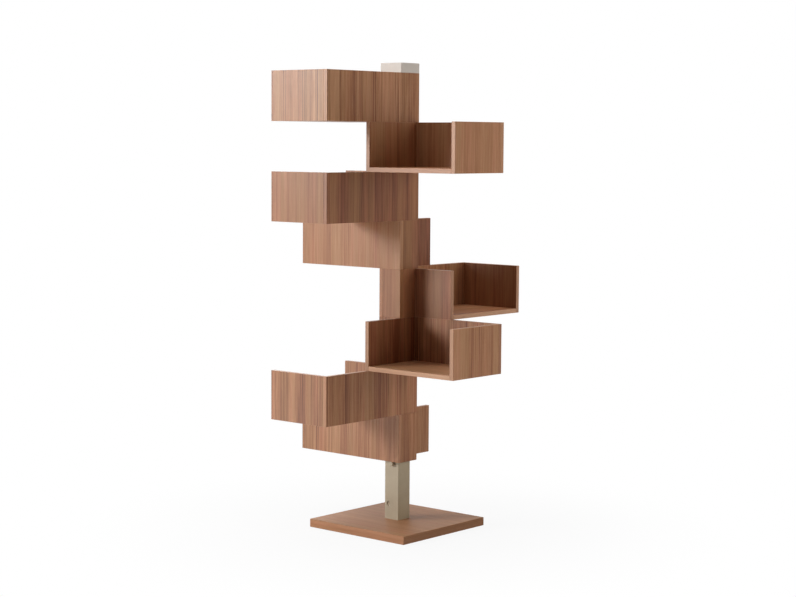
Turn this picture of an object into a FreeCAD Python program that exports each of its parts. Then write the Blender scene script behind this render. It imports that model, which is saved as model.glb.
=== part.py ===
import FreeCAD, Part
import os
import Sketcher

# Spine bookshelf: a square steel post on a wooden base carries eight identical wooden trays,
# threaded on it by their square sleeves and stacked on each other, with a metal cap on top.
# Millimetres, +Z up. The origin is on the floor, on the axis of the post.

doc = FreeCAD.newDocument("spine_bookshelf")
sizes = doc.addObject("Spreadsheet::Sheet", "sizes")

DRIVING_SIZES = {
    # Base board, the felt under it and the steel plate let into its underside
    "base_side": 420,
    "base_thickness": 28,
    "base_ease": 1.2,
    "felt_thickness": 1,
    "felt_margin": 8,
    "plate_side": 220,
    "plate_thickness": 8,
    "plate_clearance": 0.5,
    # Foot bolts, from below through plate and board into the spigot
    "bolt_diameter": 8,
    "bolt_head_diameter": 13,
    "bolt_head_height": 4.5,
    "bolt_spacing": 28,
    "bolt_clearance": 0.3,
    # Spigot that the post slips over
    "spigot_height": 78,
    "spigot_wall": 5,
    "spigot_floor": 12,
    "slip_clearance": 0.3,
    # Square post
    "post_side": 60,
    "post_wall": 4,
    "post_corner_radius": 1.5,
    "post_exposed": 200,
    "post_recess": 4,
    # Locking screw in the round recess low on the post
    "lock_hole_diameter": 18,
    "lock_head_diameter": 16.8,
    "lock_head_height": 1.6,
    "lock_shank_diameter": 8,
    "lock_shank_length": 14,
    "lock_socket_radius": 4,
    "lock_socket_depth": 1.2,
    "lock_offset": 11,
    "lock_rise": 53,
    "lock_clearance": 0.2,
    # Cross pin that carries the stack
    "pin_diameter": 16,
    "pin_length": 82,
    "pin_offset": 5,
    "pin_ease": 1,
    "pin_clearance": 0.1,
    "pin_seat_gap": 0.2,
    # Trays
    "tray_length": 358,
    "tray_depth": 248,
    "tray_height": 163,
    "panel_thickness": 15,
    "panel_ease": 0.6,
    "sleeve_clearance": 1,
    # Dowels of the glued joints
    "dowel_diameter": 8,
    "dowel_face_depth": 9.5,
    "dowel_edge_depth": 20,
    "dowel_margin": 40,
    "dowel_face_clearance": 0.1,
    "dowel_glue_room": 0.2,
    "dowel_end_gap": 0.5,
    # Cap and the plug under it
    "cap_height": 33,
    "cap_wall": 2,
    "cap_top": 3,
    "cap_ease": 1,
    "plug_reach": 30,
    "plug_ease": 1.5,
}

for row, (alias, value) in enumerate(DRIVING_SIZES.items(), start=1):
    sizes.set(f"A{row}", alias)
    sizes.set(f"B{row}", str(value))
    sizes.setAlias(f"B{row}", alias)
doc.recompute()

# Quarter turns of the trays about the post, from the lowest tray to the top one
QUARTER_TURNS = [2, 3, 0, 1, 2, 3, 0, 3]

# Heights and half widths that several pieces share, as expressions on the driving sizes
BASE_TOP = "(sizes.felt_thickness + sizes.base_thickness)"
STACK_BOTTOM = f"({BASE_TOP} + sizes.post_exposed)"
STACK_TOP = f"({STACK_BOTTOM} + {len(QUARTER_TURNS)} * sizes.tray_height)"
POST_TOP = f"({STACK_TOP} - sizes.post_recess)"
POST_BORE = "(sizes.post_side - 2 * sizes.post_wall)"
SLIP_SIDE = f"({POST_BORE} - 2 * sizes.slip_clearance)"
SLEEVE_INNER = "(sizes.post_side / 2 + sizes.sleeve_clearance)"
SLEEVE_OUTER = f"({SLEEVE_INNER} + sizes.panel_thickness)"
TRAY_FRONT = f"({SLEEVE_OUTER} - sizes.tray_depth)"
TRAY_END = f"({SLEEVE_OUTER} + sizes.tray_length)"
END_INNER = f"({TRAY_END} - sizes.panel_thickness)"

X_AXIS = FreeCAD.Vector(1, 0, 0)
Y_AXIS = FreeCAD.Vector(0, 1, 0)
Z_AXIS = FreeCAD.Vector(0, 0, 1)

sub_parts = []
cuts = []


def number(expression):
    """The value of an expression on the driving sizes."""
    return float(sizes.evalExpression(expression))


def sub_part(piece, label):
    """Name a finished piece and put it on the list of files."""
    piece.Label = label
    sub_parts.append(piece)
    return piece


def new_body(name):
    return doc.addObject("PartDesign::Body", name)


def sketch_on(body, plane, offset):
    """A sketch on one of the body's origin planes, moved along the plane's normal."""
    sketch = body.newObject("Sketcher::SketchObject", f"{body.Name}_sketch")
    support = next(feature for feature in body.Origin.OriginFeatures if feature.Role == plane)
    sketch.AttachmentSupport = [(support, "")]
    sketch.MapMode = "FlatFace"
    sketch.setExpression("AttachmentOffset.Base.z", offset)
    return sketch


def bind(sketch, kind, places, expression):
    """Add a dimension to a sketch and drive it by an expression."""
    index = sketch.addConstraint(Sketcher.Constraint(kind, *places, number(expression)))
    name = f"size_{index}"
    sketch.renameConstraint(index, name)
    sketch.setExpression(f"Constraints.{name}", expression)


def add_rectangle(sketch, left, bottom, width, height):
    x = number(left)
    y = number(bottom)
    right = x + number(width)
    top = y + number(height)
    corners = [
        FreeCAD.Vector(x, y, 0),
        FreeCAD.Vector(right, y, 0),
        FreeCAD.Vector(right, top, 0),
        FreeCAD.Vector(x, top, 0),
    ]
    lines = []
    for start, end in zip(corners, corners[1:] + corners[:1]):
        lines.append(sketch.addGeometry(Part.LineSegment(start, end)))
    for line, following in zip(lines, lines[1:] + lines[:1]):
        sketch.addConstraint(Sketcher.Constraint("Coincident", line, 2, following, 1))
    for line in (lines[0], lines[2]):
        sketch.addConstraint(Sketcher.Constraint("Horizontal", line))
    for line in (lines[1], lines[3]):
        sketch.addConstraint(Sketcher.Constraint("Vertical", line))
    bind(sketch, "DistanceX", (-1, 1, lines[0], 1), left)
    bind(sketch, "DistanceY", (-1, 1, lines[0], 1), bottom)
    bind(sketch, "DistanceX", (lines[0], 1, lines[0], 2), width)
    bind(sketch, "DistanceY", (lines[1], 1, lines[1], 2), height)


def add_square(sketch, side):
    """A square about the axis of the post."""
    add_rectangle(sketch, f"-{side} / 2", f"-{side} / 2", side, side)


def add_circle(sketch, x, y, diameter):
    centre = FreeCAD.Vector(number(x), number(y), 0)
    circle = sketch.addGeometry(Part.Circle(centre, Z_AXIS, number(diameter) / 2))
    bind(sketch, "DistanceX", (-1, 1, circle, 3), x)
    bind(sketch, "DistanceY", (-1, 1, circle, 3), y)
    bind(sketch, "Diameter", (circle,), diameter)


def pad(body, sketch, length):
    feature = body.newObject("PartDesign::Pad", f"{body.Name}_pad")
    feature.Profile = sketch
    feature.setExpression("Length", length)
    return feature


def pocket(body, sketch, depth, forward=False, both_ways=False):
    """Cut against the sketch's normal, along it (forward), or half the depth to each side."""
    base = body.Tip
    feature = body.newObject("PartDesign::Pocket", f"{body.Name}_pocket")
    feature.Profile = sketch
    feature.setExpression("Length", depth)
    feature.Reversed = forward
    feature.SideType = "Symmetric" if both_ways else "One side"
    cuts.append((feature, base))
    return feature


def ease(body, size):
    """Break every edge of the body as it stands."""
    base = body.Tip
    feature = body.newObject("PartDesign::Chamfer", f"{body.Name}_ease")
    feature.Base = (base, ["Edge1"])
    feature.UseAllEdges = True
    feature.setExpression("Size", size)
    return feature


def place(piece, x, y, z):
    piece.setExpression("Placement.Base.x", x)
    piece.setExpression("Placement.Base.y", y)
    piece.setExpression("Placement.Base.z", z)


def cylinder(name, diameter, length, axis, x, y, z):
    """A plain cylinder that runs from a point along an axis."""
    piece = doc.addObject("Part::Cylinder", name)
    piece.setExpression("Radius", f"{diameter} / 2")
    piece.setExpression("Height", length)
    piece.Placement = FreeCAD.Placement(FreeCAD.Vector(), FreeCAD.Rotation(Z_AXIS, axis))
    place(piece, x, y, z)
    return piece


def compound(name, pieces):
    group = doc.addObject("Part::Compound", name)
    group.Links = pieces
    return group


# Foot bolts stand at the corners of a square about the post's axis
BOLT_AT = "sizes.bolt_spacing / 2"
BOLT_CORNERS = [(f"{a}{BOLT_AT}", f"{b}{BOLT_AT}") for a in ("-", "") for b in ("-", "")]
BOLT_HOLE = "(sizes.bolt_diameter + 2 * sizes.bolt_clearance)"
BOLT_HEAD_SEAT = "(sizes.felt_thickness + sizes.bolt_head_height)"
SPIGOT_FLOOR_TOP = f"({BASE_TOP} + sizes.spigot_floor)"


def drill_bolt_holes(body, bottom, depth, diameter=BOLT_HOLE):
    """The four bolt holes, upwards from a level."""
    sketch = sketch_on(body, "XY_Plane", bottom)
    for x, y in BOLT_CORNERS:
        add_circle(sketch, x, y, diameter)
    pocket(body, sketch, depth, forward=True)


def make_base_board():
    body = new_body("base_board")
    outline = sketch_on(body, "XY_Plane", "sizes.felt_thickness")
    add_square(outline, "sizes.base_side")
    pad(body, outline, "sizes.base_thickness")
    ease(body, "sizes.base_ease")
    recess = sketch_on(body, "XY_Plane", "sizes.felt_thickness")
    add_square(recess, "(sizes.plate_side + 2 * sizes.plate_clearance)")
    pocket(body, recess, "sizes.plate_thickness", forward=True)
    drill_bolt_holes(body, "sizes.felt_thickness", "sizes.base_thickness")
    return sub_part(body, "base_board")


def make_base_felt():
    side = "(sizes.base_side - 2 * sizes.felt_margin)"
    felt = doc.addObject("Part::Box", "base_felt")
    felt.setExpression("Length", side)
    felt.setExpression("Width", side)
    felt.setExpression("Height", "sizes.felt_thickness")
    place(felt, f"-{side} / 2", f"-{side} / 2", "0")
    return sub_part(felt, "base_felt")


def make_clamp_plate():
    body = new_body("clamp_plate")
    outline = sketch_on(body, "XY_Plane", "sizes.felt_thickness")
    add_square(outline, "sizes.plate_side")
    pad(body, outline, "sizes.plate_thickness")
    drill_bolt_holes(body, "sizes.felt_thickness", "sizes.plate_thickness")
    head_hole = "(sizes.bolt_head_diameter + 2 * sizes.bolt_clearance)"
    drill_bolt_holes(body, "sizes.felt_thickness", "sizes.bolt_head_height", head_hole)
    return sub_part(body, "clamp_plate")


def make_foot_bolts():
    bolts = []
    for index, (x, y) in enumerate(BOLT_CORNERS, start=1):
        head = cylinder(
            f"bolt_head_{index}", "sizes.bolt_head_diameter", "sizes.bolt_head_height",
            Z_AXIS, x, y, "sizes.felt_thickness",
        )
        shank_length = f"{SPIGOT_FLOOR_TOP} - {BOLT_HEAD_SEAT}"
        shank = cylinder(
            f"bolt_shank_{index}", "sizes.bolt_diameter", shank_length, Z_AXIS, x, y, BOLT_HEAD_SEAT
        )
        bolt = doc.addObject("Part::Fuse", f"foot_bolt_{index}")
        bolt.Base = head
        bolt.Tool = shank
        bolts.append(bolt)
    return sub_part(compound("foot_bolts", bolts), "foot_bolts")


# The locking screw goes in from the -Y side, through a hole in the tube into the spigot's wall
LOCK_X = "-sizes.lock_offset"
LOCK_Z = f"({BASE_TOP} + sizes.lock_rise)"
SPIGOT_FACE = f"({SLIP_SIDE} / 2)"


def make_foot_spigot():
    body = new_body("foot_spigot")
    outline = sketch_on(body, "XY_Plane", BASE_TOP)
    add_square(outline, SLIP_SIDE)
    pad(body, outline, "sizes.spigot_height")
    hollow = sketch_on(body, "XY_Plane", SPIGOT_FLOOR_TOP)
    add_square(hollow, f"({SLIP_SIDE} - 2 * sizes.spigot_wall)")
    pocket(body, hollow, "sizes.spigot_height - sizes.spigot_floor", forward=True)
    drill_bolt_holes(body, BASE_TOP, "sizes.spigot_floor")
    thread = sketch_on(body, "XZ_Plane", SPIGOT_FACE)
    add_circle(thread, LOCK_X, LOCK_Z, "(sizes.lock_shank_diameter + 2 * sizes.lock_clearance)")
    pocket(body, thread, "sizes.spigot_wall")
    return sub_part(body, "foot_spigot")


def make_lock_screw():
    face_y = f"-{SPIGOT_FACE}"
    head = cylinder(
        "lock_head", "sizes.lock_head_diameter", "sizes.lock_head_height", -Y_AXIS, LOCK_X, face_y, LOCK_Z
    )
    shank = cylinder(
        "lock_shank", "sizes.lock_shank_diameter", "sizes.lock_shank_length", Y_AXIS, LOCK_X, face_y, LOCK_Z
    )
    blank = doc.addObject("Part::Fuse", "lock_blank")
    blank.Base = head
    blank.Tool = shank
    socket = doc.addObject("Part::Prism", "lock_socket")
    socket.Polygon = 6
    socket.setExpression("Circumradius", "sizes.lock_socket_radius")
    socket.setExpression("Height", "sizes.lock_socket_depth")
    socket.Placement = FreeCAD.Placement(FreeCAD.Vector(), FreeCAD.Rotation(Z_AXIS, Y_AXIS))
    place(socket, LOCK_X, f"{face_y} - sizes.lock_head_height", LOCK_Z)
    screw = doc.addObject("Part::Cut", "lock_screw")
    screw.Base = blank
    screw.Tool = socket
    return sub_part(screw, "lock_screw")


# The cross pin lies along Y, just under the lowest tray
PIN_Z = f"({STACK_BOTTOM} - sizes.pin_seat_gap - sizes.pin_diameter / 2)"


def make_post_tube():
    body = new_body("post_tube")
    outline = sketch_on(body, "XY_Plane", BASE_TOP)
    add_square(outline, "sizes.post_side")
    bar = pad(body, outline, f"{POST_TOP} - {BASE_TOP}")
    doc.recompute()
    corners = [
        f"Edge{index}"
        for index, edge in enumerate(bar.Shape.Edges, start=1)
        if edge.tangentAt(edge.FirstParameter).isParallel(Z_AXIS, 1e-6)
    ]
    rounding = body.newObject("PartDesign::Fillet", "post_corners")
    rounding.Base = (bar, corners)
    rounding.setExpression("Radius", "sizes.post_corner_radius")
    bore = sketch_on(body, "XY_Plane", BASE_TOP)
    add_square(bore, POST_BORE)
    pocket(body, bore, f"{POST_TOP} - {BASE_TOP}", forward=True)
    pin_holes = sketch_on(body, "XZ_Plane", "0")
    add_circle(pin_holes, "sizes.pin_offset", PIN_Z, "(sizes.pin_diameter + 2 * sizes.pin_clearance)")
    pocket(body, pin_holes, "2 * sizes.post_side", both_ways=True)
    lock_hole = sketch_on(body, "XZ_Plane", "sizes.post_side / 2")
    add_circle(lock_hole, LOCK_X, LOCK_Z, "sizes.lock_hole_diameter")
    pocket(body, lock_hole, "sizes.post_wall")
    return sub_part(body, "post_tube")


def make_support_pin():
    body = new_body("support_pin")
    section = sketch_on(body, "XZ_Plane", "-sizes.pin_length / 2")
    add_circle(section, "sizes.pin_offset", PIN_Z, "sizes.pin_diameter")
    pad(body, section, "sizes.pin_length")
    ease(body, "sizes.pin_ease")
    return sub_part(body, "support_pin")


# One tray, at the origin: it reaches out along +X, its back is towards +Y and it is open
# towards -Y and upwards. The sleeve is about the Z axis and the underside is at z = 0.

# Dowel places along the boards
FLOOR_MIDDLE = "(sizes.panel_thickness / 2)"
SLEEVE_MIDDLE = f"({SLEEVE_INNER} + sizes.panel_thickness / 2)"
END_MIDDLE = f"({END_INNER} + sizes.panel_thickness / 2)"
UPRIGHT_PAIR = ["sizes.dowel_margin", "(sizes.tray_height - sizes.dowel_margin)"]
DEPTH_PAIR = [f"({TRAY_FRONT} + sizes.dowel_margin)", f"({SLEEVE_INNER} - sizes.dowel_margin)"]
LENGTH_ROW = [
    f"({SLEEVE_OUTER} + sizes.dowel_margin)",
    f"(({SLEEVE_OUTER} + {END_INNER}) / 2)",
    f"({END_INNER} - sizes.dowel_margin)",
]


def upright_row(across):
    return [(across, height) for height in UPRIGHT_PAIR]


def floor_row(places):
    return [(across, FLOOR_MIDDLE) for across in places]


# Each glued joint: the board drilled in its face, the board drilled in its edge, the axis that
# points from face to edge, where the two boards meet along it, and the places across it
GLUED_JOINTS = [
    ("divider_panel", "floor_panel", X_AXIS, SLEEVE_OUTER, floor_row(DEPTH_PAIR)),
    ("end_panel", "floor_panel", -X_AXIS, END_INNER, floor_row(DEPTH_PAIR)),
    ("back_panel", "floor_panel", -Y_AXIS, SLEEVE_INNER, floor_row(LENGTH_ROW)),
    ("back_panel", "divider_panel", -Y_AXIS, SLEEVE_INNER, upright_row(SLEEVE_MIDDLE)),
    ("back_panel", "end_panel", -Y_AXIS, SLEEVE_INNER, upright_row(END_MIDDLE)),
    ("back_panel", "sleeve_side", -Y_AXIS, SLEEVE_INNER, upright_row(f"-{SLEEVE_MIDDLE}")),
    ("sleeve_side", "sleeve_front", X_AXIS, f"-{SLEEVE_INNER}", upright_row(f"-{SLEEVE_MIDDLE}")),
    ("divider_panel", "sleeve_front", -X_AXIS, SLEEVE_INNER, upright_row(f"-{SLEEVE_MIDDLE}")),
]


def drill_dowel_holes(body):
    """The board's share of the holes of every joint that it takes part in."""
    for face_board, edge_board, axis, seam, places in GLUED_JOINTS:
        if body.Name not in (face_board, edge_board):
            continue
        in_edge = body.Name == edge_board
        depth = "sizes.dowel_edge_depth" if in_edge else "sizes.dowel_face_depth"
        clearance = "sizes.dowel_glue_room" if in_edge else "sizes.dowel_face_clearance"
        drill_axis = axis if in_edge else -axis
        along_x = abs(axis.x) > 0
        plane = "YZ_Plane" if along_x else "XZ_Plane"
        plane_normal = X_AXIS if along_x else -Y_AXIS
        sketch = sketch_on(body, plane, seam if along_x else f"-{seam}")
        for across, height in places:
            add_circle(sketch, across, height, f"(sizes.dowel_diameter + 2 * {clearance})")
        forward = drill_axis.dot(plane_normal) > 0
        pocket(body, sketch, f"{depth} + sizes.dowel_end_gap", forward=forward)


def make_board(name, plane, offset, left, bottom, width, height):
    """A board of panel thickness with eased edges, drilled for its dowels."""
    body = new_body(name)
    outline = sketch_on(body, plane, offset)
    add_rectangle(outline, left, bottom, width, height)
    pad(body, outline, "sizes.panel_thickness")
    ease(body, "sizes.panel_ease")
    drill_dowel_holes(body)
    return body


def make_tray_dowels():
    dowels = []
    for face_board, edge_board, axis, seam, places in GLUED_JOINTS:
        along_x = abs(axis.x) > 0
        step_back = "-" if axis.x + axis.y > 0 else "+"
        start = f"{seam} {step_back} sizes.dowel_face_depth"
        for across, height in places:
            x, y = (start, across) if along_x else (across, start)
            length = "sizes.dowel_face_depth + sizes.dowel_edge_depth"
            dowels.append(cylinder("dowel", "sizes.dowel_diameter", length, axis, x, y, height))
    return compound("dowels", dowels)


def make_tray_pieces():
    """The pieces of one tray by their names, at the origin."""
    wall_height = "sizes.tray_height"
    cross_width = "(sizes.tray_depth - sizes.panel_thickness)"
    floor_length = "(sizes.tray_length - sizes.panel_thickness)"
    back_panel = make_board(
        "back_panel", "XZ_Plane", f"-{SLEEVE_OUTER}",
        f"-{SLEEVE_OUTER}", "0", f"({SLEEVE_OUTER} + {TRAY_END})", wall_height,
    )
    divider_panel = make_board(
        "divider_panel", "YZ_Plane", SLEEVE_INNER, TRAY_FRONT, "0", cross_width, wall_height
    )
    end_panel = make_board(
        "end_panel", "YZ_Plane", END_INNER, TRAY_FRONT, "0", cross_width, wall_height
    )
    floor_panel = make_board(
        "floor_panel", "XY_Plane", "0", SLEEVE_OUTER, TRAY_FRONT, floor_length, cross_width
    )
    sleeve_side = make_board(
        "sleeve_side", "YZ_Plane", f"-{SLEEVE_OUTER}",
        f"-{SLEEVE_OUTER}", "0", f"({SLEEVE_OUTER} + {SLEEVE_INNER})", wall_height,
    )
    sleeve_front = make_board(
        "sleeve_front", "XZ_Plane", SLEEVE_INNER,
        f"-{SLEEVE_INNER}", "0", f"2 * {SLEEVE_INNER}", wall_height,
    )
    return {
        "back_panel": back_panel,
        "divider_panel": divider_panel,
        "end_panel": end_panel,
        "floor_panel": floor_panel,
        "sleeve_boards": compound("sleeve_boards", [sleeve_side, sleeve_front]),
        "dowels": make_tray_dowels(),
    }


def stack_trays(pieces):
    """Eight trays on the post, each with its own quarter turn."""
    for level, turns in enumerate(QUARTER_TURNS):
        for name, piece in pieces.items():
            copy = doc.addObject("App::Link", f"tray_{level + 1}_{name}")
            copy.LinkedObject = piece
            copy.Placement = FreeCAD.Placement(FreeCAD.Vector(), FreeCAD.Rotation(Z_AXIS, 90 * turns))
            copy.setExpression("Placement.Base.z", f"{STACK_BOTTOM} + {level} * sizes.tray_height")
            sub_part(copy, f"tray_{level + 1}_{name}")


def make_top_cap():
    body = new_body("top_cap")
    side = f"(2 * {SLEEVE_OUTER})"
    outline = sketch_on(body, "XY_Plane", STACK_TOP)
    add_square(outline, side)
    pad(body, outline, "sizes.cap_height")
    ease(body, "sizes.cap_ease")
    hollow = sketch_on(body, "XY_Plane", STACK_TOP)
    add_square(hollow, f"({side} - 2 * sizes.cap_wall)")
    pocket(body, hollow, "sizes.cap_height - sizes.cap_top", forward=True)
    return sub_part(body, "top_cap")


def make_cap_plug():
    body = new_body("cap_plug")
    bottom = f"({POST_TOP} - sizes.plug_reach)"
    cap_ceiling = f"({STACK_TOP} + sizes.cap_height - sizes.cap_top)"
    outline = sketch_on(body, "XY_Plane", bottom)
    add_square(outline, SLIP_SIDE)
    pad(body, outline, f"{cap_ceiling} - {bottom}")
    ease(body, "sizes.plug_ease")
    return sub_part(body, "cap_plug")


make_base_board()
make_base_felt()
make_clamp_plate()
make_foot_bolts()
make_foot_spigot()
make_post_tube()
make_lock_screw()
make_support_pin()
stack_trays(make_tray_pieces())
make_top_cap()
make_cap_plug()
doc.recompute()

# Nothing is written unless every piece was built and every cut took material away
for item in doc.Objects:
    if "Invalid" in item.State or "Error" in item.State:
        raise RuntimeError(f"{item.Label} was not built: {item.State}")
for feature, base in cuts:
    if feature.Shape.Volume > base.Shape.Volume - 1:
        raise RuntimeError(f"{feature.Label} cuts nothing")
for piece in sub_parts:
    if piece.Shape.isNull() or not piece.Shape.isValid():
        raise RuntimeError(f"{piece.Label} has no valid shape")

os.makedirs("parts", exist_ok=True)
for piece in sub_parts:
    piece.Shape.exportStep(f"parts/{piece.Label}.step")
print(f"{len(sub_parts)} sub-parts written")
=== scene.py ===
import math
import bpy
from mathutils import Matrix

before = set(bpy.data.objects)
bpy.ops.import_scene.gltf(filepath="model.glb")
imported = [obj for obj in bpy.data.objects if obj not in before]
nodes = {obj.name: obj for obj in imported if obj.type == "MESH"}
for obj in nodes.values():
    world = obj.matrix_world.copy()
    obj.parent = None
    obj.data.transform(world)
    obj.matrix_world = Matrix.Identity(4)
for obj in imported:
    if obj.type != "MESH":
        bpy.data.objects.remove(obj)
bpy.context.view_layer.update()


# Base board: a square board that gives the tower its stand. It is faced with straight-grained
# brown veneer under a satin lacquer, with a darker lipping on the edges that cut the grain, and
# four bolts from below clamp the foot of the post to it.

VENEER_DARK = (108, 60, 36)
VENEER_MIDDLE = (159, 109, 74)
VENEER_PALE = (194, 148, 111)
VENEER_ROSE = (174, 106, 82)
VENEER_OLIVE = (146, 109, 70)
LIPPING_DARK = (112, 68, 46)

# Layers of the grain: widths across it and lengths along it
BROAD_WIDTH = 0.060
STRIP_WIDTH = 0.034
STRIPE_WIDTH = 0.0065
LINE_WIDTH = 0.0022
BAND_WIDTH = 0.011
BAND_LENGTH = 0.28
STREAK_WIDTH = 0.0035
STREAK_LENGTH = 0.09
DARK_LINE_SPACING = 0.0095
DARK_LINE_GROUP = 0.051
PORE_WIDTH = 0.0005
PORE_LENGTH = 0.016

# The tone of the wood under its layers, and how much each of them lightens or darkens it
GROUND_TONE = -0.105
BROAD_STRENGTH = 0.20
STRIP_STRENGTH = 0.13
STRIPE_STRENGTH = 0.13
LINE_STRENGTH = 0.16
BAND_STRENGTH = 0.36
STREAK_STRENGTH = 0.36
DARK_LINE_STRENGTH = -0.24
PORE_STRENGTH = -0.10

# Where each layer starts in its noise, so that no two of them repeat each other
BROAD_START = 41.0
STRIP_START = 3.0
STRIPE_START = 11.0
LINE_START = 29.0
BAND_START = 5.0
STREAK_START = 0.0
DARK_LINE_START = 53.0
DARK_LINE_GROUP_START = 67.0
SEED_STEP = 7.31

# How far the grain wanders sideways, and its waves to the metre, across the grain and along it
DRIFT = 0.0035
DRIFT_WAVES_ACROSS = 9.0
DRIFT_WAVES_ALONG = 4.5

# The two faces of a board are different leaves: the figure shifts this much per metre of thickness
LEAF_SHIFT = 3.7

# Ranges of noise over which dark lines, their groups, pores and tints come in, and how much a
# strip's own colour adds to a tint
NOISE_MIDDLE = 0.5
DARK_LINE_RANGE = (0.0, 0.05)
DARK_LINE_GROUP_RANGE = (0.40, 0.56)
PORE_RANGE = (0.58, 0.70)
TINT_RANGE = (0.62, 0.85)
STRIP_TINT = 0.3


def screen(red, green, blue):
    """A colour given in screen values from 0 to 255, as the linear colour that shaders take."""
    shares = [value / 255 for value in (red, green, blue)]
    linear = [s / 12.92 if s <= 0.04045 else ((s + 0.055) / 1.055) ** 2.4 for s in shares]
    return (*linear, 1.0)


def add(tree, kind, inputs=None, **settings):
    """Add a shader node. Each input takes either another node's output or a plain value."""
    made = tree.nodes.new(kind)
    for name, value in settings.items():
        setattr(made, name, value)
    for name, source in (inputs or {}).items():
        socket = made.inputs[name]
        if isinstance(source, bpy.types.NodeSocket):
            tree.links.new(source, socket)
        else:
            socket.default_value = source
    return made


def calculate(tree, operation, first, second=0.0, third=0.0):
    """The output of a Math node."""
    inputs = {0: first, 1: second, 2: third}
    return add(tree, "ShaderNodeMath", inputs, operation=operation).outputs[0]


def spread(tree, value, low, high, to_low=0.0, to_high=1.0):
    """A value mapped smoothly from one range to another, and held at the ends."""
    inputs = {"Value": value, "From Min": low, "From Max": high, "To Min": to_low, "To Max": to_high}
    return add(tree, "ShaderNodeMapRange", inputs, interpolation_type="SMOOTHSTEP").outputs[0]


def noise(tree, place, detail, scale=1.0):
    """Soft noise from 0 to 1. The scale is the number of waves to the unit of its place."""
    inputs = {"Vector": place, "Scale": scale, "Detail": detail}
    return add(tree, "ShaderNodeTexNoise", inputs).outputs[0]


def point(tree, x, y, z):
    """A place put together from three values."""
    return add(tree, "ShaderNodeCombineXYZ", {0: x, 1: y, 2: z}).outputs[0]


def mix_colour(tree, amount, first, second):
    """The first colour, turned into the second by an amount from 0 to 1."""
    inputs = {0: amount, 6: first, 7: second}
    return add(tree, "ShaderNodeMix", inputs, data_type="RGBA").outputs[2]


def mix_place(tree, amount, first, second):
    """The first place, moved to the second by an amount from 0 to 1."""
    inputs = {0: amount, 4: first, 5: second}
    return add(tree, "ShaderNodeMix", inputs, data_type="VECTOR").outputs[1]


def colour_ramp(tree, value, stops):
    """A colour that follows a value through stops of (position, screen colour)."""
    made = add(tree, "ShaderNodeValToRGB", {"Fac": value})
    while len(made.color_ramp.elements) < len(stops):
        made.color_ramp.elements.new(1.0)
    for element, (position, colour) in zip(made.color_ramp.elements, stops):
        element.position = position
        element.color = screen(*colour)
    return made.outputs["Color"]


def relief(tree, surface, height, strength, depth):
    """Fine relief on a surface, from a height that changes over it."""
    bump = add(tree, "ShaderNodeBump", {"Height": height, "Strength": strength, "Distance": depth})
    tree.links.new(bump.outputs[0], surface.inputs["Normal"])


def new_group(name, inputs, outputs):
    """An empty node group with its sockets, and the two nodes that stand for them."""
    group = bpy.data.node_groups.new(name, "ShaderNodeTree")
    for socket, kind in inputs:
        group.interface.new_socket(name=socket, in_out="INPUT", socket_type=f"NodeSocket{kind}")
    for socket, kind in outputs:
        group.interface.new_socket(name=socket, in_out="OUTPUT", socket_type=f"NodeSocket{kind}")
    return group, group.nodes.new("NodeGroupInput"), group.nodes.new("NodeGroupOutput")


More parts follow.
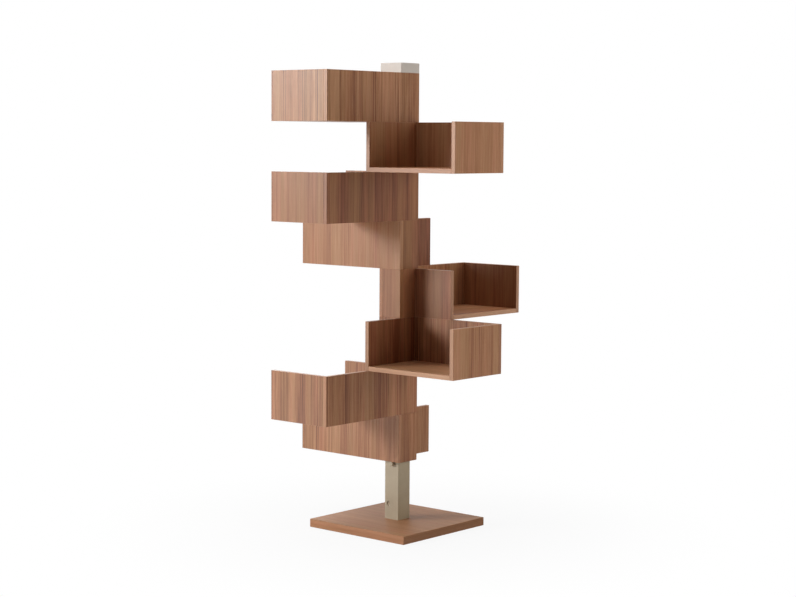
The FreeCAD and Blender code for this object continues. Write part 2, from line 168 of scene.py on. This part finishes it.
def make_straight_grain():
    """Quarter-cut grain. X runs across the grain, Y through the board and Z along the grain."""
    tree, given, result = new_group(
        "straight_grain",
        [("Vector", "Vector"), ("Seed", "Float"), ("Dark Lines", "Float")],
        [("Tone", "Float"), ("Rose", "Float"), ("Olive", "Float"), ("Pores", "Float"), ("Height", "Float")],
    )
    place = add(tree, "ShaderNodeSeparateXYZ", {0: given.outputs["Vector"]})
    along = place.outputs["Z"]
    seed = calculate(tree, "MULTIPLY", given.outputs["Seed"], SEED_STEP)

    # The place across the grain, on this leaf, with the slow wandering of the grain
    leaf = calculate(tree, "MULTIPLY_ADD", place.outputs["Y"], LEAF_SHIFT, place.outputs["X"])
    slow_across = calculate(tree, "MULTIPLY", leaf, DRIFT_WAVES_ACROSS)
    slow_along = calculate(tree, "MULTIPLY", along, DRIFT_WAVES_ALONG)
    wander = noise(tree, point(tree, slow_across, seed, slow_along), detail=1.0)
    across = calculate(tree, "ADD", leaf, calculate(tree, "MULTIPLY_ADD", wander, 2 * DRIFT, -DRIFT))

    def strips(width, start):
        """Uneven strips of about one width, each with its own random colour."""
        strip_start = calculate(tree, "ADD", seed, start)
        strip_place = calculate(tree, "MULTIPLY_ADD", across, 1.0 / width, strip_start)
        inputs = {"W": strip_place, "Scale": 1.0}
        made = add(tree, "ShaderNodeTexVoronoi", inputs, voronoi_dimensions="1D")
        return add(tree, "ShaderNodeSeparateColor", {0: made.outputs["Color"]})

    def lines(width, start, detail):
        """Soft lines of about one width."""
        line_start = calculate(tree, "ADD", seed, start)
        line_place = calculate(tree, "MULTIPLY_ADD", across, 1.0 / width, line_start)
        inputs = {"W": line_place, "Scale": 1.0, "Detail": detail}
        return add(tree, "ShaderNodeTexNoise", inputs, noise_dimensions="1D").outputs[0]

    def streaks(width, length, start):
        """Soft streaks that fade in and out along the grain."""
        streak_across = calculate(tree, "DIVIDE", across, width)
        streak_along = calculate(tree, "DIVIDE", along, length)
        streak_start = calculate(tree, "ADD", seed, start)
        return noise(tree, point(tree, streak_across, streak_start, streak_along), detail=2.0)

    strip = strips(STRIP_WIDTH, STRIP_START)
    stripe = strips(STRIPE_WIDTH, STRIPE_START)
    fine = lines(LINE_WIDTH, LINE_START, detail=2.0)
    broad = lines(BROAD_WIDTH, BROAD_START, detail=0.0)
    band = streaks(BAND_WIDTH, BAND_LENGTH, BAND_START)
    streak = streaks(STREAK_WIDTH, STREAK_LENGTH, STREAK_START)

    # Narrow dark lines, where a soft wave crosses its middle, gathered in some stretches only
    wave = lines(DARK_LINE_SPACING, DARK_LINE_START, detail=1.0)
    off_middle = calculate(tree, "ABSOLUTE", calculate(tree, "SUBTRACT", wave, NOISE_MIDDLE))
    thin = spread(tree, off_middle, *DARK_LINE_RANGE, to_low=1.0, to_high=0.0)
    group = lines(DARK_LINE_GROUP, DARK_LINE_GROUP_START, detail=0.0)
    dark = calculate(tree, "MULTIPLY", thin, spread(tree, group, *DARK_LINE_GROUP_RANGE))
    dark = calculate(tree, "MULTIPLY", dark, given.outputs["Dark Lines"])

    # Short pores
    pore_scale = (1.0 / PORE_WIDTH, 1.0 / PORE_WIDTH, 1.0 / PORE_LENGTH)
    pore_inputs = {0: given.outputs["Vector"], 1: pore_scale}
    pore_place = add(tree, "ShaderNodeVectorMath", pore_inputs, operation="MULTIPLY").outputs[0]
    pores = spread(tree, noise(tree, pore_place, detail=1.0), *PORE_RANGE)

    layers = [
        (broad, BROAD_STRENGTH),
        (strip.outputs["Red"], STRIP_STRENGTH),
        (stripe.outputs["Red"], STRIPE_STRENGTH),
        (fine, LINE_STRENGTH),
        (band, BAND_STRENGTH),
        (streak, STREAK_STRENGTH),
        (dark, DARK_LINE_STRENGTH),
        (pores, PORE_STRENGTH),
    ]
    tone = GROUND_TONE
    for layer, strength in layers:
        tone = calculate(tree, "MULTIPLY_ADD", layer, strength, tone)
    rose = calculate(tree, "MULTIPLY_ADD", strip.outputs["Green"], STRIP_TINT, band)
    olive = calculate(tree, "MULTIPLY_ADD", strip.outputs["Blue"], STRIP_TINT, broad)

    tree.links.new(tone, result.inputs["Tone"])
    tree.links.new(spread(tree, rose, *TINT_RANGE), result.inputs["Rose"])
    tree.links.new(spread(tree, olive, *TINT_RANGE), result.inputs["Olive"])
    tree.links.new(pores, result.inputs["Pores"])
    tree.links.new(calculate(tree, "SUBTRACT", fine, pores), result.inputs["Height"])
    return tree


STRAIGHT_GRAIN = make_straight_grain()

# Tones at which the veneer is dark, average and pale, and how far its tints reach
DARK_TONE = 0.2
MIDDLE_TONE = 0.55
PALE_TONE = 0.9
ROSE_SHARE = 0.22
OLIVE_SHARE = 0.28

# The lacquer is rougher in the pores and on pale wood, and its relief has a strength and a depth
PORE_ROUGHNESS = 0.15
TONE_ROUGHNESS = 0.06
GRAIN_RELIEF = (0.12, 0.0004)

# How squarely a surface faces along an axis where the grain turns and where the lipping comes in
TURN_FACING = 0.8
LIPPING_FACING = (0.75, 0.95)


def new_material(name):
    """A material with its node tree and its main shader."""
    material = bpy.data.materials.new(name)
    material.use_nodes = True
    return material, material.node_tree, material.node_tree.nodes["Principled BSDF"]


def veneered_board(name, axes, seed, leaf, lacquer, lipping, corner=False):
    """Lacquered veneer on the two faces of a board, and a lipping on its edges.

    The axes are letters: across the grain, through the board and along the grain. The leaf says how
    much paler or darker than the rest the veneer is, which on some boards is painted light and painted
    shade as well as the leaf's own tone, and how strong its stripes are; the lacquer gives the
    specular level and the roughness, and the lipping the share and the colour of another wood on
    the edges. A corner shows its veneer both ways, with a lipping only on the ends of the grain.
    """
    tone_and_painted_light, figure = leaf
    specular, smooth = lacquer
    lipping_share, lipping_colour = lipping
    material, tree, surface = new_material(name)
    coordinates = add(tree, "ShaderNodeTexCoord")
    place = add(tree, "ShaderNodeSeparateXYZ", {0: coordinates.outputs["Object"]})
    facing = add(tree, "ShaderNodeSeparateXYZ", {0: coordinates.outputs["Normal"]})
    across, through, along = (place.outputs[axis] for axis in axes)
    sides, faces, ends = (calculate(tree, "ABSOLUTE", facing.outputs[axis]) for axis in axes)

    # The grain turns the corner on a side, and runs along an edge that cuts across it
    on_face = point(tree, across, through, along)
    on_side = point(tree, through, across, along)
    on_end = point(tree, through, along, across)
    at_side = calculate(tree, "GREATER_THAN", sides, TURN_FACING)
    at_end = calculate(tree, "GREATER_THAN", ends, TURN_FACING)
    grain_place = mix_place(tree, at_side, on_face, on_side)
    grain_place = mix_place(tree, at_end, grain_place, on_end)
    inputs = {"Vector": grain_place, "Seed": seed, "Dark Lines": figure}
    grain = add(tree, "ShaderNodeGroup", inputs, node_tree=STRAIGHT_GRAIN)

    # The figure spreads the tones about the average one. The leaf's shift moves the average, and on some
    # boards that shift is painted light, on others painted shade
    average = MIDDLE_TONE * (1.0 - figure) + tone_and_painted_light
    tone = calculate(tree, "MULTIPLY_ADD", grain.outputs["Tone"], figure, average)
    stops = [(DARK_TONE, VENEER_DARK), (MIDDLE_TONE, VENEER_MIDDLE), (PALE_TONE, VENEER_PALE)]
    colour = colour_ramp(tree, tone, stops)
    rose = calculate(tree, "MULTIPLY", grain.outputs["Rose"], ROSE_SHARE)
    colour = mix_colour(tree, rose, colour, screen(*VENEER_ROSE))
    olive = calculate(tree, "MULTIPLY", grain.outputs["Olive"], OLIVE_SHARE)
    colour = mix_colour(tree, olive, colour, screen(*VENEER_OLIVE))
    if corner:
        edge = spread(tree, ends, *LIPPING_FACING)
    else:
        edge = spread(tree, faces, *LIPPING_FACING, to_low=1.0, to_high=0.0)
    edge = calculate(tree, "MULTIPLY", edge, lipping_share)
    colour = mix_colour(tree, edge, colour, screen(*lipping_colour))
    tree.links.new(colour, surface.inputs["Base Color"])

    roughness = calculate(tree, "MULTIPLY_ADD", grain.outputs["Pores"], PORE_ROUGHNESS, smooth)
    roughness = calculate(tree, "MULTIPLY_ADD", grain.outputs["Tone"], TONE_ROUGHNESS, roughness)
    tree.links.new(roughness, surface.inputs["Roughness"])
    relief(tree, surface, grain.outputs["Height"], *GRAIN_RELIEF)
    surface.inputs["Specular IOR Level"].default_value = specular
    return material


def finish_node(name, material):
    """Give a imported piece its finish."""
    nodes[name].data.materials.clear()
    nodes[name].data.materials.append(material)


# The grain runs along X, and the lacquer is matter than on the trays
BASE_AXES = ("Y", "Z", "X")
BASE_SEED = 0.4
BASE_LEAF = (0.19, 0.6)
BASE_LACQUER = (0.14, 0.46)
BASE_LIPPING = (0.5, LIPPING_DARK)

base_veneer = veneered_board(
    "base_veneer", BASE_AXES, BASE_SEED, BASE_LEAF, BASE_LACQUER, BASE_LIPPING, corner=True
)
finish_node("base_board", base_veneer)


# Base felt: a sheet of dark pressed felt glued under the base board, set in a little from its
# edge, so that the steel plate and the bolt heads don't touch the floor.

FELT_DARK = (44, 40, 38)
FELT_PALE = (84, 78, 73)
FELT_STOPS = [(0.3, FELT_DARK), (0.7, FELT_PALE)]
FIBRES_TO_THE_METRE = 900.0
TUFTS_TO_THE_METRE = 120.0
TUFT_SHARE = 0.6
FELT_RELIEF = (0.5, 0.0006)
FELT_ROUGHNESS = 0.95
FELT_SHEEN = 0.3


def object_place(tree):
    """The place on a piece, in metres."""
    return add(tree, "ShaderNodeTexCoord").outputs["Object"]


def weigh(tree, first, share, second):
    """A share of the first value, and the second for the rest."""
    rest = calculate(tree, "MULTIPLY", second, 1.0 - share)
    return calculate(tree, "MULTIPLY_ADD", first, share, rest)


felt, tree, surface = new_material("pressed_felt")
place = object_place(tree)
fibres = noise(tree, place, detail=4.0, scale=FIBRES_TO_THE_METRE)
tufts = noise(tree, place, detail=2.0, scale=TUFTS_TO_THE_METRE)
felt_colour = colour_ramp(tree, weigh(tree, tufts, TUFT_SHARE, fibres), FELT_STOPS)
tree.links.new(felt_colour, surface.inputs["Base Color"])
relief(tree, surface, fibres, *FELT_RELIEF)
surface.inputs["Roughness"].default_value = FELT_ROUGHNESS
surface.inputs["Sheen Weight"].default_value = FELT_SHEEN
finish_node("base_felt", felt)


# Clamp plate, foot bolts and foot spigot: zinc-plated steel. The plate is let into the underside
# of the base, and the bolts pull the spigot down on the board. All are hidden once assembled.

ZINC_DARK = (140, 139, 136)
ZINC_PALE = (186, 185, 181)
ZINC_STOPS = [(0.3, ZINC_DARK), (0.7, ZINC_PALE)]
ROLLING_MARKS_TO_THE_METRE = (60.0, 1400.0, 1400.0)
ROLLING_MARK_SHARE = 0.35
ROLLING_MARK_RELIEF = (0.1, 0.0002)
ZINC_ROUGHNESS = 0.22
CLOUD_ROUGHNESS = 0.25


def zinc_plating(name, clouds_to_the_metre):
    """Bright zinc plating with cloudy spangle and a faint rolling mark along X."""
    material, tree, surface = new_material(name)
    place = object_place(tree)
    clouds = noise(tree, place, detail=3.0, scale=clouds_to_the_metre)
    mark_inputs = {"Vector": place, "Scale": ROLLING_MARKS_TO_THE_METRE}
    mark_place = add(tree, "ShaderNodeMapping", mark_inputs).outputs[0]
    marks = noise(tree, mark_place, detail=2.0)
    colour = colour_ramp(tree, weigh(tree, marks, ROLLING_MARK_SHARE, clouds), ZINC_STOPS)
    roughness = calculate(tree, "MULTIPLY_ADD", clouds, CLOUD_ROUGHNESS, ZINC_ROUGHNESS)
    tree.links.new(colour, surface.inputs["Base Color"])
    tree.links.new(roughness, surface.inputs["Roughness"])
    relief(tree, surface, marks, *ROLLING_MARK_RELIEF)
    surface.inputs["Metallic"].default_value = 1.0
    return material


finish_node("clamp_plate", zinc_plating("plate_zinc", clouds_to_the_metre=60.0))
finish_node("foot_bolts", zinc_plating("bolt_zinc", clouds_to_the_metre=240.0))
finish_node("foot_spigot", zinc_plating("spigot_zinc", clouds_to_the_metre=90.0))


# Post: a square steel tube, slipped over the spigot and sprayed with a champagne-coloured satin
# paint. The locking screw in the round recess near its foot is painted with it.

POST_DARK = (157, 140, 113)
POST_PALE = (174, 159, 132)
POST_SPECULAR = 0.5
PAINT_DARK_TONE = 0.25
PAINT_PALE_TONE = 0.75
CLOUDS_TO_THE_METRE = 14.0
FLAKES_TO_THE_METRE = 2600.0
FLAKE_SHARE = 0.3
PAINT_ROUGHNESS = 0.44
PAINT_CLOUD_ROUGHNESS = 0.12
ORANGE_PEEL_TO_THE_METRE = 420.0
ORANGE_PEEL_RELIEF = (0.08, 0.0006)


def sprayed_paint(name, dark, pale, specular):
    """Satin paint with fine metal flake and the slight orange peel of spraying."""
    material, tree, surface = new_material(name)
    place = object_place(tree)
    clouds = noise(tree, place, detail=3.0, scale=CLOUDS_TO_THE_METRE)
    flakes = add(tree, "ShaderNodeTexVoronoi", {"Vector": place, "Scale": FLAKES_TO_THE_METRE})
    flake_tone = add(tree, "ShaderNodeSeparateColor", {0: flakes.outputs["Color"]}).outputs["Red"]
    tone = weigh(tree, flake_tone, FLAKE_SHARE, clouds)
    colour = colour_ramp(tree, tone, [(PAINT_DARK_TONE, dark), (PAINT_PALE_TONE, pale)])
    roughness = calculate(tree, "MULTIPLY_ADD", clouds, PAINT_CLOUD_ROUGHNESS, PAINT_ROUGHNESS)
    tree.links.new(colour, surface.inputs["Base Color"])
    tree.links.new(roughness, surface.inputs["Roughness"])
    peel = noise(tree, place, detail=1.0, scale=ORANGE_PEEL_TO_THE_METRE)
    relief(tree, surface, peel, *ORANGE_PEEL_RELIEF)
    surface.inputs["Specular IOR Level"].default_value = specular
    return material


post_paint = sprayed_paint("post_paint", POST_DARK, POST_PALE, POST_SPECULAR)
finish_node("post_tube", post_paint)
finish_node("lock_screw", post_paint)


# Support pin: a steel pin pushed crosswise through the post and painted like it. The lowest tray
# rests on its two ends, and so it carries the whole stack.

finish_node("support_pin", post_paint)


# Trays: eight open boxes of veneered boards, glued and dowelled, each with a square sleeve that
# slips over the post. The grain stands upright on all walls and runs along the floors. Each tray
# points a quarter turn on from the one below, and the top one a quarter turn back.

LIPPING_PALE = (206, 162, 132)
TRAY_LACQUER = (0.25, 0.38)
# The lipping shows less on a back panel, which runs on over the sleeve, than on the other boards
OPEN_LIPPING = (0.45, LIPPING_PALE)
FLUSH_LIPPING = (0.15, LIPPING_PALE)
# Quarter turns from the lowest tray to the top one
QUARTER_TURNS = [2, 3, 0, 1, 2, 3, 0, 3]
# Every board has a seed of its own, counted on from the first
FIRST_SEED = 1.7
# How much paler or darker than the rest each board is, and how strong its stripes are. The shift is partly
# the leaf's own tone and partly painted light and shade: boards that the light reaches more are painted
# paler, and boards in the shadow of the trays above and of the sleeves are painted darker
PLAIN_LEAF = (0.0, 1.0)
BOARD_TONES_AND_PAINTED_LIGHT = {
    "tray_1_back_panel": (0.02, 1.2),
    "tray_1_sleeve_boards": (-0.04, 1.1),
    "tray_2_back_panel": (0.0, 1.3),
    "tray_2_end_panel": (-0.05, 1.2),
    "tray_3_divider_panel": (-0.23, 1.2),
    "tray_3_back_panel": (-0.03, 1.4),
    "tray_3_end_panel": (0.10, 1.0),
    "tray_3_floor_panel": (0.29, 1.0),
    "tray_4_sleeve_boards": (-0.05, 0.6),
    "tray_4_divider_panel": (-0.16, 0.8),
    "tray_4_end_panel": (-0.13, 0.6),
    "tray_5_back_panel": (0.045, 0.8),
    "tray_5_divider_panel": (-0.24, 0.8),
    "tray_5_sleeve_boards": (-0.19, 0.8),
    "tray_6_end_panel": (-0.04, 0.8),
    "tray_6_back_panel": (-0.19, 0.8),
    "tray_7_back_panel": (0.14, 0.7),
    "tray_7_divider_panel": (0.03, 0.7),
    "tray_7_end_panel": (0.05, 0.7),
    "tray_8_end_panel": (0.10, 1.3),
    "tray_8_back_panel": (0.11, 1.4),
}

for level, turns in enumerate(QUARTER_TURNS):
    length_axis, depth_axis = ("X", "Y") if turns % 2 == 0 else ("Y", "X")
    board_axes = {
        "back_panel": (length_axis, depth_axis, "Z"),
        "divider_panel": (depth_axis, length_axis, "Z"),
        "end_panel": (depth_axis, length_axis, "Z"),
        "floor_panel": (depth_axis, "Z", length_axis),
        "sleeve_boards": (length_axis, depth_axis, "Z"),
    }
    for index, (board, axes) in enumerate(board_axes.items()):
        name = f"tray_{level + 1}_{board}"
        seed = level * len(board_axes) + index + FIRST_SEED
        # The listed boards carry painted light and painted shade in their tone shift
        leaf = BOARD_TONES_AND_PAINTED_LIGHT.get(name, PLAIN_LEAF)
        lipping = FLUSH_LIPPING if board == "back_panel" else OPEN_LIPPING
        corner = board == "sleeve_boards"
        veneer = veneered_board(f"{name}_veneer", axes, seed, leaf, TRAY_LACQUER, lipping, corner)
        finish_node(name, veneer)


# Dowels: beech pegs, turned to a round and left raw, glued into blind holes in both boards at
# every joint of the trays. They are hidden once a tray is glued up.

BEECH_DARK = (190, 152, 112)
BEECH_PALE = (222, 190, 150)
BEECH_STOPS = [(0.3, BEECH_DARK), (0.8, BEECH_PALE)]
BEECH_ROUGHNESS = 0.6
BEECH_PORE_ROUGHNESS = 0.2

beech, tree, surface = new_material("dowel_beech")
place = add(tree, "ShaderNodeSeparateXYZ", {0: object_place(tree)}).outputs
grain_place = point(tree, place["Y"], place["Z"], place["X"])
grain = add(tree, "ShaderNodeGroup", {"Vector": grain_place}, node_tree=STRAIGHT_GRAIN)
beech_colour = colour_ramp(tree, grain.outputs["Tone"], BEECH_STOPS)
beech_roughness = calculate(
    tree, "MULTIPLY_ADD", grain.outputs["Pores"], BEECH_PORE_ROUGHNESS, BEECH_ROUGHNESS
)
tree.links.new(beech_colour, surface.inputs["Base Color"])
tree.links.new(beech_roughness, surface.inputs["Roughness"])
for level in range(len(QUARTER_TURNS)):
    finish_node(f"tray_{level + 1}_dowels", beech)


# Cap and plug: a folded sheet-metal cap, sprayed paler than the post, that closes the top of the
# stack. The moulded plug under it drops into the open end of the post.

CAP_DARK = (204, 194, 183)
CAP_PALE = (216, 207, 197)
CAP_SPECULAR = 0.33
PLUG_DARK = (24, 24, 25)
PLUG_PALE = (42, 42, 43)
PLUG_STOPS = [(0.3, PLUG_DARK), (0.7, PLUG_PALE)]
MOULD_GRAINS_TO_THE_METRE = 1500.0
MOULD_RELIEF = (0.2, 0.0002)
PLASTIC_ROUGHNESS = 0.5
MOULD_ROUGHNESS = 0.2

finish_node("top_cap", sprayed_paint("cap_paint", CAP_DARK, CAP_PALE, CAP_SPECULAR))

# Matt black plastic with the fine spark-eroded texture of its mould
plastic, tree, surface = new_material("plug_plastic")
mould_grains = noise(tree, object_place(tree), detail=2.0, scale=MOULD_GRAINS_TO_THE_METRE)
plastic_roughness = calculate(tree, "MULTIPLY_ADD", mould_grains, MOULD_ROUGHNESS, PLASTIC_ROUGHNESS)
tree.links.new(colour_ramp(tree, mould_grains, PLUG_STOPS), surface.inputs["Base Color"])
tree.links.new(plastic_roughness, surface.inputs["Roughness"])
relief(tree, surface, mould_grains, *MOULD_RELIEF)
finish_node("cap_plug", plastic)


# Floor: a plain white studio floor. It keeps the soft shadow round the base and fades to the
# white of the backdrop further out.

FLOOR_SIDE = 60.0
FLOOR_WHITE = (0.7, 0.7, 0.7, 1.0)
# The share of its own shading that the floor shows, and where that begins and ends to fade
SHADOW_SHARE = 0.08
SHADOW_NEAR = 0.3
SHADOW_FAR = 1.2


def seen_directly(tree):
    """1 for rays that should meet the white backdrop: those of the camera, gloss and glass."""
    path = add(tree, "ShaderNodeLightPath")
    seen = calculate(tree, "MAXIMUM", path.outputs["Is Camera Ray"], path.outputs["Is Glossy Ray"])
    return calculate(tree, "MAXIMUM", seen, path.outputs["Is Transmission Ray"])


bpy.ops.object.select_all(action="DESELECT")
bpy.ops.mesh.primitive_plane_add(size=FLOOR_SIDE)
floor = bpy.context.object
floor.name = "studio_floor"
floor_material, tree, surface = new_material("floor_white")
surface.inputs["Base Color"].default_value = FLOOR_WHITE
surface.inputs["Roughness"].default_value = 1.0
surface.inputs["Specular IOR Level"].default_value = 0.0
from_post = add(tree, "ShaderNodeVectorMath", {0: object_place(tree)}, operation="LENGTH")
distance = from_post.outputs["Value"]
shadow = spread(tree, distance, SHADOW_NEAR, SHADOW_FAR, to_low=SHADOW_SHARE, to_high=0.0)
white = add(tree, "ShaderNodeEmission", {"Strength": 1.0})
glow = calculate(tree, "MULTIPLY", seen_directly(tree), calculate(tree, "SUBTRACT", 1.0, shadow))
blended = add(tree, "ShaderNodeMixShader", {0: glow, 1: surface.outputs[0], 2: white.outputs[0]})
tree.links.new(blended.outputs[0], tree.nodes["Material Output"].inputs["Surface"])
floor.data.materials.append(floor_material)


# Light: a key softbox in front on the left with a low strip under it, a wide soft light overhead,
# and reflectors low in front, on the right, and behind on the left. Two more lamps only show as
# sheen in the lacquer. The dim grey room is white to the camera and to glossy surfaces.

# All lamps are turned to this point in the middle of the stack
AIM = (0.0, 0.0, 0.85)
ROOM_GREY = (0.02, 0.02, 0.02, 1.0)
ROOM_WHITE = (1.0, 1.0, 1.0, 1.0)


def soft_lamp(name, energy, size, azimuth, elevation, distance, lights=True, mirrored=True):
    """A rectangular lamp round the object, turned to its middle. Azimuth 0 is in front, on -Y.

    A lamp that doesn't light shows only as a reflection, and one that isn't mirrored only lights.
    """
    lamp = bpy.data.lights.new(name, "AREA")
    lamp.energy = energy
    lamp.shape = "RECTANGLE"
    lamp.size, lamp.size_y = size
    holder = bpy.data.objects.new(name, lamp)
    bpy.context.scene.collection.objects.link(holder)
    around = math.radians(azimuth)
    above = math.radians(elevation)
    holder.location = (
        AIM[0] + distance * math.sin(around) * math.cos(above),
        AIM[1] - distance * math.cos(around) * math.cos(above),
        AIM[2] + distance * math.sin(above),
    )
    holder.rotation_euler = (math.radians(90) - above, 0.0, around)
    holder.visible_camera = False
    holder.visible_diffuse = lights
    holder.visible_glossy = mirrored


soft_lamp("key_softbox", energy=372.0, size=(3.2, 1.8), azimuth=-39.0, elevation=16.0, distance=8.0)
soft_lamp(
    "overhead_softbox", energy=1880.0, size=(15.2, 15.2), azimuth=-50.0, elevation=78.0, distance=16.0
)
soft_lamp(
    "front_strip", energy=65.0, size=(1.8, 0.7), azimuth=-41.0, elevation=6.0, distance=8.0, mirrored=False
)
soft_lamp(
    "key_sheen", energy=620.0, size=(3.2, 1.8), azimuth=-39.0, elevation=16.0, distance=8.0, lights=False
)
soft_lamp(
    "low_card", energy=2.8, size=(1.6, 0.5), azimuth=-41.0, elevation=-22.0, distance=1.6, lights=False
)
soft_lamp("low_reflector", energy=3.3, size=(1.6, 0.4), azimuth=-41.0, elevation=-24.0, distance=1.6)
soft_lamp(
    "right_reflector",
    energy=110.0,
    size=(3.0, 4.2),
    azimuth=112.0,
    elevation=7.0,
    distance=4.6,
    mirrored=False,
)
soft_lamp("rear_reflector", energy=46.0, size=(2.5, 2.5), azimuth=238.0, elevation=12.0, distance=5.5)

world = bpy.data.worlds.new("studio")
world.use_nodes = True
bpy.context.scene.world = world
tree = world.node_tree
room_colour = mix_colour(tree, seen_directly(tree), ROOM_GREY, ROOM_WHITE)
tree.links.new(room_colour, tree.nodes["Background"].inputs["Color"])


# Camera: a long lens at about chest height, in front on the right, tipped down by five degrees.
# Its place was fitted to the object's edges, with a trace of roll and yaw.

IMAGE_WIDTH = 796
SENSOR_WIDTH = 36.0
FOCAL_PIXELS = 1820.09
CAMERA_AZIMUTH = 40.870
CAMERA_DISTANCE = 6.112
CAMERA_HEIGHT = 1.3094
CAMERA_PITCH = -4.960
CAMERA_ROLL = 0.369
CAMERA_YAW = 0.050

camera_data = bpy.data.cameras.new("camera")
camera_data.sensor_width = SENSOR_WIDTH
camera_data.lens = FOCAL_PIXELS / IMAGE_WIDTH * SENSOR_WIDTH
camera = bpy.data.objects.new("camera", camera_data)
bpy.context.scene.collection.objects.link(camera)
around = math.radians(CAMERA_AZIMUTH)
camera.location = (CAMERA_DISTANCE * math.sin(around), -CAMERA_DISTANCE * math.cos(around), CAMERA_HEIGHT)
camera.rotation_euler = (
    math.radians(90 + CAMERA_PITCH),
    math.radians(-CAMERA_ROLL),
    math.radians(CAMERA_AZIMUTH + CAMERA_YAW),
)
bpy.context.scene.camera = camera
bpy.context.scene.view_settings.view_transform = "Standard"
